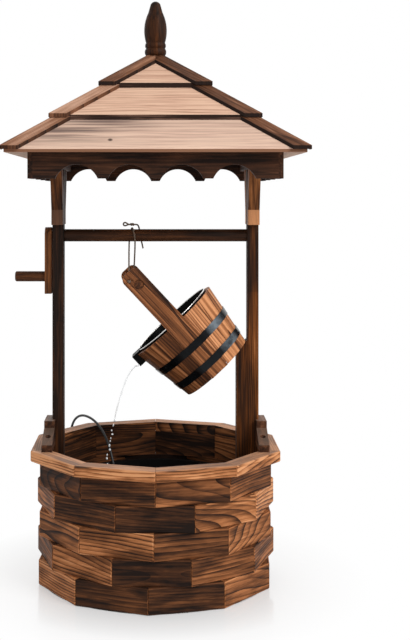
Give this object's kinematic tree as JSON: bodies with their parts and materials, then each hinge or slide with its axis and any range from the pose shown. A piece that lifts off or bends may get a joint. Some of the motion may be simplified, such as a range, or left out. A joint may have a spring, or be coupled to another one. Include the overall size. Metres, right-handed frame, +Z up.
{
  "type": "wishing well fountain",
  "caption": "Wooden wishing well fountain: a base of stacked blocks, posts with a crank windlass, a hipped tiered roof and a tipped stave bucket that pours into the tub.",
  "frame": {"origin": "on the floor under the middle of the well, cord left out", "axes": "+Z up to the finial, -Y the front, +X the side with the hose post, crank on -X"},
  "size_m": [0.5464, 0.5844, 1.118],
  "materials": {
    "dark_wood": "stained and charred",
    "base_wood": "stained and charred",
    "roof_wood": "sawn, lightly stained",
    "trim_wood": "stained and charred",
    "bucket_wood": "stained",
    "black_plastic": "gloss black",
    "hoop_steel": "black paint",
    "screw_steel": "dull steel",
    "rope_fibre": "twisted fibre",
    "cord_rubber": "matt black"
  },
  "bodies": {
    "well": {"post_left": "dark_wood", "post_right": "dark_wood", "brace_front_left": "dark_wood", "brace_front_right": "dark_wood", "brace_rear_left": "dark_wood", "brace_rear_right": "dark_wood", "rail_left": "dark_wood", "rail_right": "dark_wood", "fascia_front": "dark_wood", "fascia_rear": "dark_wood", "fascia_left": "dark_wood", "fascia_right": "dark_wood", "rafters": "dark_wood", "king_block": "dark_wood", "bearers": "dark_wood", "hose_cover": "dark_wood", "shoe_left": "dark_wood", "shoe_right": "dark_wood", "course_1": "base_wood", "course_2": "base_wood", "course_3": "base_wood", "course_4": "base_wood", "course_5": "base_wood", "rim": "base_wood", "roof_lower": "roof_wood", "roof_middle": "roof_wood", "roof_upper": "roof_wood", "hips_lower": "trim_wood", "hips_middle": "trim_wood", "hips_upper": "trim_wood", "finial": "trim_wood", "bucket_staves": "bucket_wood", "bucket_bottom": "bucket_wood", "ear_front": "bucket_wood", "ear_rear": "bucket_wood", "grip_rod": "bucket_wood", "tub": "black_plastic", "bucket_liner": "black_plastic", "pump_body": "black_plastic", "pump_cover": "black_plastic", "hose_elbow": "black_plastic", "plug": "black_plastic", "hoop_upper": "hoop_steel", "hoop_lower": "hoop_steel", "shoe_screws": "screw_steel", "rope_sling": "rope_fibre", "rope_knots": "rope_fibre", "rope_bow": "rope_fibre", "rope_tail": "rope_fibre", "riser_hose": "cord_rubber", "power_cord": "cord_rubber", "cord_coil": "cord_rubber", "cord_tie": "cord_rubber"},
    "windlass": {"windlass_bar": "dark_wood", "crank_arm": "dark_wood", "crank_peg": "dark_wood"},
    "impeller": {"impeller": "black_plastic"}
  },
  "joints": [
    {"name": "windlass_turn", "type": "hinge", "parent": "well", "child": "windlass", "pos_m": [0, 0, 0.662], "axis": [1, 0, 0], "continuous": true},
    {"name": "impeller_spin", "type": "hinge", "parent": "well", "child": "impeller", "pos_m": [0.112, 0, 0.053], "axis": [0, 1, 0], "continuous": true}
  ]
}
